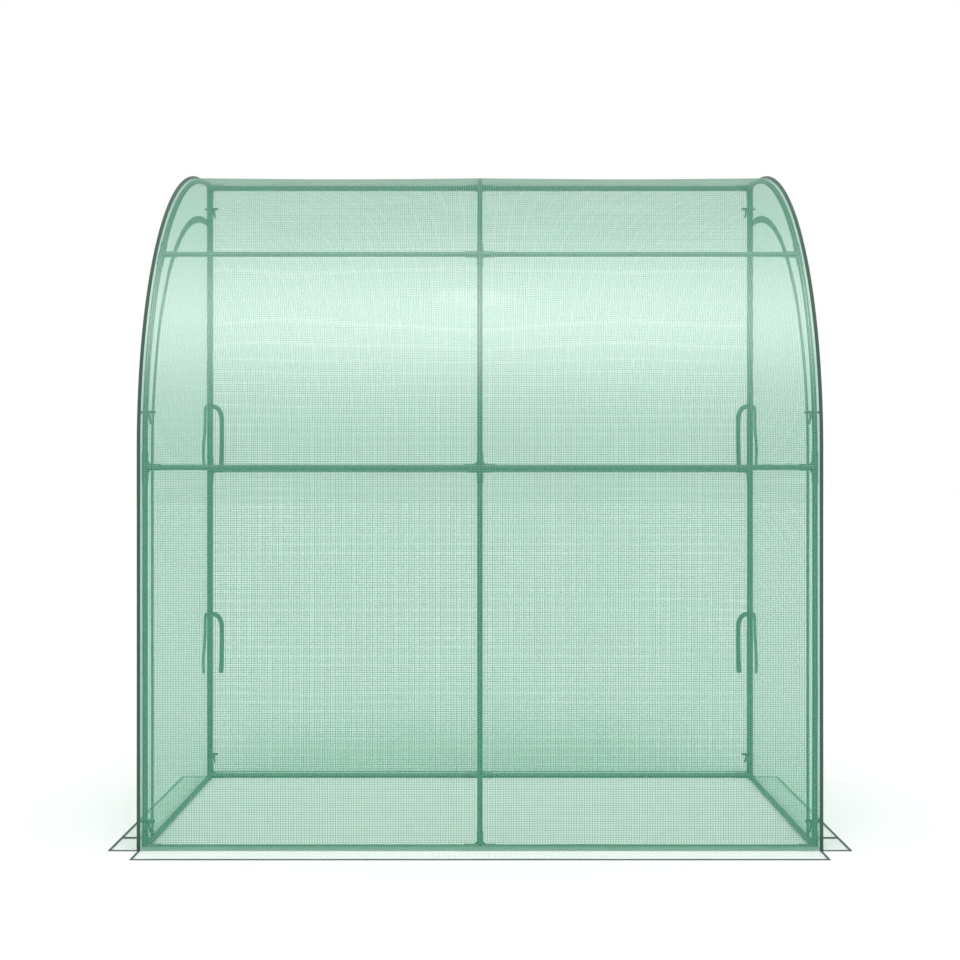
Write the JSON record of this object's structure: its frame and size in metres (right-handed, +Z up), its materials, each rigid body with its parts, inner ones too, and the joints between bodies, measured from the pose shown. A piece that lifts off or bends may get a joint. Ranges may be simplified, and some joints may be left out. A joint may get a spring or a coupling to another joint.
{
  "type": "lean-to greenhouse",
  "caption": "Walk-in lean-to greenhouse: a tube frame of quarter-round hoops under a sewn mesh cover, with a zip door in each end and a ground skirt all round.",
  "frame": {"origin": "on the ground, in the middle of the footprint", "axes": "+X to the right seen from the front, +Y to the house wall, +Z up"},
  "size_m": [2.174, 1.19, 2.16],
  "materials": {
    "tube": "green powder coat, satin",
    "fitting": "moulded green plastic",
    "mesh": "clear film laid on a woven green grid",
    "trim": "woven dark green tape",
    "zip_metal": "plated zip slider"
  },
  "bodies": {
    "root": {"left_front_leg": "tube", "centre_front_leg": "tube", "right_front_leg": "tube", "left_arch": "tube", "centre_arch": "tube", "right_arch": "tube", "left_back_post": "tube", "centre_back_post": "tube", "right_back_post": "tube", "front_ground_rails": "tube", "back_ground_rails": "tube", "side_ground_rails": "tube", "front_middle_rails": "tube", "back_middle_rails": "tube", "roof_rails": "tube", "top_rails": "tube", "front_foot_fittings": "fitting", "back_foot_fittings": "fitting", "front_middle_fittings": "fitting", "back_middle_fittings": "fitting", "roof_fittings": "fitting", "top_fittings": "fitting", "front_cover": "mesh", "roof_cover": "mesh", "back_cover": "mesh", "left_side_cover": "mesh", "right_side_cover": "mesh", "left_door": "mesh", "right_door": "mesh", "left_door_zip": "trim", "right_door_zip": "trim", "left_zip_slider": "zip_metal", "right_zip_slider": "zip_metal", "left_edge_binding": "trim", "right_edge_binding": "trim", "front_skirt": "mesh", "back_skirt": "mesh", "left_side_skirt": "mesh", "right_side_skirt": "mesh", "left_door_skirt": "mesh", "right_door_skirt": "mesh", "left_door_straps": "trim", "right_door_straps": "trim", "left_frame_ties": "trim", "right_frame_ties": "trim"}
  },
  "joints": []
}
